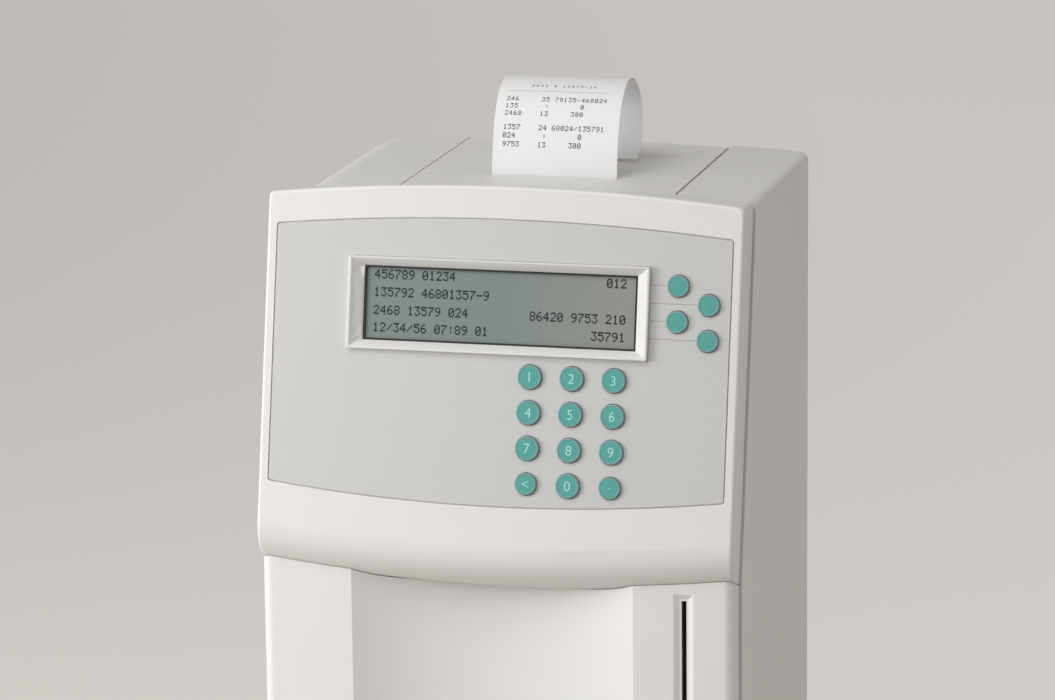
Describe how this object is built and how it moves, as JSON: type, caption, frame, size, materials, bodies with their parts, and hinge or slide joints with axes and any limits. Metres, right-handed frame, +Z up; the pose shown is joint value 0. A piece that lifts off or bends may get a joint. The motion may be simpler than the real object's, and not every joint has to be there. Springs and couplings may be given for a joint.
{
  "type": "platelet function analyzer",
  "caption": "Bench analyser with a tilted display head, keypad, strip printer under a hinged lid, card slot, and an open bay with a turntable for test cartridges.",
  "frame": {"origin": "on the bench, under the middle of the machine's bounding box", "axes": "+X to the viewer's right, the front faces -Y, +Z up"},
  "size_m": [0.2272, 0.182, 0.4787],
  "materials": {
    "casing_plastic": "fine satin moulding",
    "panel_film": "matt printed film",
    "bezel_plastic": "satin moulding",
    "gasket_black": "matt",
    "display_face": "grey-green display",
    "key_teal": "satin key cap",
    "board_green": "circuit board",
    "paper_white": "thermal paper",
    "inner_plastic": "smooth moulding",
    "bright_steel": "bright",
    "grey_metal": "plain sheet",
    "cup_rubber": "soft cup",
    "dark_plastic": "matt moulding"
  },
  "bodies": {
    "machine": {"head_cover": "casing_plastic", "casing": "casing_plastic", "printer_front_strip": "casing_plastic", "lower_front": "casing_plastic", "rear_panel": "casing_plastic", "keypad_overlay": "panel_film", "display_bezel": "bezel_plastic", "display_gasket": "gasket_black", "feet": "gasket_black", "display_module": "display_face", "display_board": "board_green", "keypad_board": "board_green", "main_board": "board_green", "paper_strip": "paper_white", "printer_tub": "inner_plastic", "bay_liner": "inner_plastic", "roll_spindle": "inner_plastic", "cover_hinge_pin": "bright_steel", "case_screws": "bright_steel", "serial_connector": "bright_steel", "platen_motor": "grey_metal", "print_head": "grey_metal", "carousel_motor": "grey_metal", "incubation_block": "grey_metal", "lift_actuator": "grey_metal", "pump_barrel": "grey_metal", "card_reader": "grey_metal", "chassis": "grey_metal", "base_tray": "grey_metal", "power_supply": "grey_metal", "power_inlet": "dark_plastic", "fan_frame": "dark_plastic"},
    "lid": {"printer_cover": "casing_plastic"},
    "platen": {"platen_roller": "gasket_black"},
    "roll": {"paper_roll": "paper_white"},
    "turntable": {"carousel": "inner_plastic", "carousel_spindle": "bright_steel"},
    "suction": {"suction_head": "cup_rubber"},
    "plunger": {"pump_plunger": "bright_steel"},
    "rocker": {"power_rocker": "dark_plastic"},
    "fan": {"fan_rotor": "dark_plastic"},
    "key_0_cap": {"key_0": "key_teal"},
    "key_1_cap": {"key_1": "key_teal"},
    "key_2_cap": {"key_2": "key_teal"},
    "key_3_cap": {"key_3": "key_teal"},
    "key_4_cap": {"key_4": "key_teal"},
    "key_5_cap": {"key_5": "key_teal"},
    "key_6_cap": {"key_6": "key_teal"},
    "key_7_cap": {"key_7": "key_teal"},
    "key_8_cap": {"key_8": "key_teal"},
    "key_9_cap": {"key_9": "key_teal"},
    "key_back_cap": {"key_back": "key_teal"},
    "key_point_cap": {"key_point": "key_teal"},
    "soft_key_1_cap": {"soft_key_1": "key_teal"},
    "soft_key_2_cap": {"soft_key_2": "key_teal"},
    "soft_key_3_cap": {"soft_key_3": "key_teal"},
    "soft_key_4_cap": {"soft_key_4": "key_teal"}
  },
  "joints": [
    {"name": "key_0_press", "type": "slide", "parent": "machine", "child": "key_0_cap", "axis": [0, 0.9799, -0.1994], "range_m": [0, 0.001], "stiffness_N_per_m": 300, "springref_m": -0.0005},
    {"name": "key_1_press", "type": "slide", "parent": "machine", "child": "key_1_cap", "axis": [0, 0.9799, -0.1994], "range_m": [0, 0.001], "stiffness_N_per_m": 300, "springref_m": -0.0005},
    {"name": "key_2_press", "type": "slide", "parent": "machine", "child": "key_2_cap", "axis": [0, 0.9799, -0.1994], "range_m": [0, 0.001], "stiffness_N_per_m": 300, "springref_m": -0.0005},
    {"name": "key_3_press", "type": "slide", "parent": "machine", "child": "key_3_cap", "axis": [0, 0.9799, -0.1994], "range_m": [0, 0.001], "stiffness_N_per_m": 300, "springref_m": -0.0005},
    {"name": "key_4_press", "type": "slide", "parent": "machine", "child": "key_4_cap", "axis": [0, 0.9799, -0.1994], "range_m": [0, 0.001], "stiffness_N_per_m": 300, "springref_m": -0.0005},
    {"name": "key_5_press", "type": "slide", "parent": "machine", "child": "key_5_cap", "axis": [0, 0.9799, -0.1994], "range_m": [0, 0.001], "stiffness_N_per_m": 300, "springref_m": -0.0005},
    {"name": "key_6_press", "type": "slide", "parent": "machine", "child": "key_6_cap", "axis": [0, 0.9799, -0.1994], "range_m": [0, 0.001], "stiffness_N_per_m": 300, "springref_m": -0.0005},
    {"name": "key_7_press", "type": "slide", "parent": "machine", "child": "key_7_cap", "axis": [0, 0.9799, -0.1994], "range_m": [0, 0.001], "stiffness_N_per_m": 300, "springref_m": -0.0005},
    {"name": "key_8_press", "type": "slide", "parent": "machine", "child": "key_8_cap", "axis": [0, 0.9799, -0.1994], "range_m": [0, 0.001], "stiffness_N_per_m": 300, "springref_m": -0.0005},
    {"name": "key_9_press", "type": "slide", "parent": "machine", "child": "key_9_cap", "axis": [0, 0.9799, -0.1994], "range_m": [0, 0.001], "stiffness_N_per_m": 300, "springref_m": -0.0005},
    {"name": "key_back_press", "type": "slide", "parent": "machine", "child": "key_back_cap", "axis": [0, 0.9799, -0.1994], "range_m": [0, 0.001], "stiffness_N_per_m": 300, "springref_m": -0.0005},
    {"name": "key_point_press", "type": "slide", "parent": "machine", "child": "key_point_cap", "axis": [0, 0.9799, -0.1994], "range_m": [0, 0.001], "stiffness_N_per_m": 300, "springref_m": -0.0005},
    {"name": "soft_key_1_press", "type": "slide", "parent": "machine", "child": "soft_key_1_cap", "axis": [0, 0.9799, -0.1994], "range_m": [0, 0.001], "stiffness_N_per_m": 300, "springref_m": -0.0005},
    {"name": "soft_key_2_press", "type": "slide", "parent": "machine", "child": "soft_key_2_cap", "axis": [0, 0.9799, -0.1994], "range_m": [0, 0.001], "stiffness_N_per_m": 300, "springref_m": -0.0005},
    {"name": "soft_key_3_press", "type": "slide", "parent": "machine", "child": "soft_key_3_cap", "axis": [0, 0.9799, -0.1994], "range_m": [0, 0.001], "stiffness_N_per_m": 300, "springref_m": -0.0005},
    {"name": "soft_key_4_press", "type": "slide", "parent": "machine", "child": "soft_key_4_cap", "axis": [0, 0.9799, -0.1994], "range_m": [0, 0.001], "stiffness_N_per_m": 300, "springref_m": -0.0005},
    {"name": "printer_cover_hinge", "type": "hinge", "parent": "machine", "child": "lid", "pos_m": [0.011, 0.085, 0.43002], "axis": [-1, 0, 0], "range_deg": [0, 80], "deforming": ["paper_strip"]},
    {"name": "platen_turn", "type": "hinge", "parent": "machine", "child": "platen", "pos_m": [0.012, -0.007, 0.417], "axis": [1, 0, 0], "continuous": true},
    {"name": "paper_roll_turn", "type": "hinge", "parent": "machine", "child": "roll", "pos_m": [0.012, 0.042, 0.399], "axis": [1, 0, 0], "continuous": true},
    {"name": "turntable_turn", "type": "hinge", "parent": "machine", "child": "turntable", "pos_m": [0, -0.024, 0.109], "axis": [0, 0, 1], "continuous": true},
    {"name": "suction_head_lower", "type": "slide", "parent": "machine", "child": "suction", "axis": [0, 0, -1], "range_m": [0, 0.014]},
    {"name": "pump_plunger_push", "type": "slide", "parent": "machine", "child": "plunger", "axis": [1, 0, 0], "range_m": [0, 0.03]},
    {"name": "power_rocker_tip", "type": "hinge", "parent": "machine", "child": "rocker", "pos_m": [0.07, 0.0848, 0.073], "axis": [1, 0, 0], "range_deg": [0, 14]},
    {"name": "fan_spin", "type": "hinge", "parent": "machine", "child": "fan", "pos_m": [-0.05, 0.0772, 0.33], "axis": [0, 1, 0], "continuous": true}
  ],
  "couplings": [
    {"joint": "paper_roll_turn", "follows": "platen_turn", "ratio": -0.3}
  ]
}
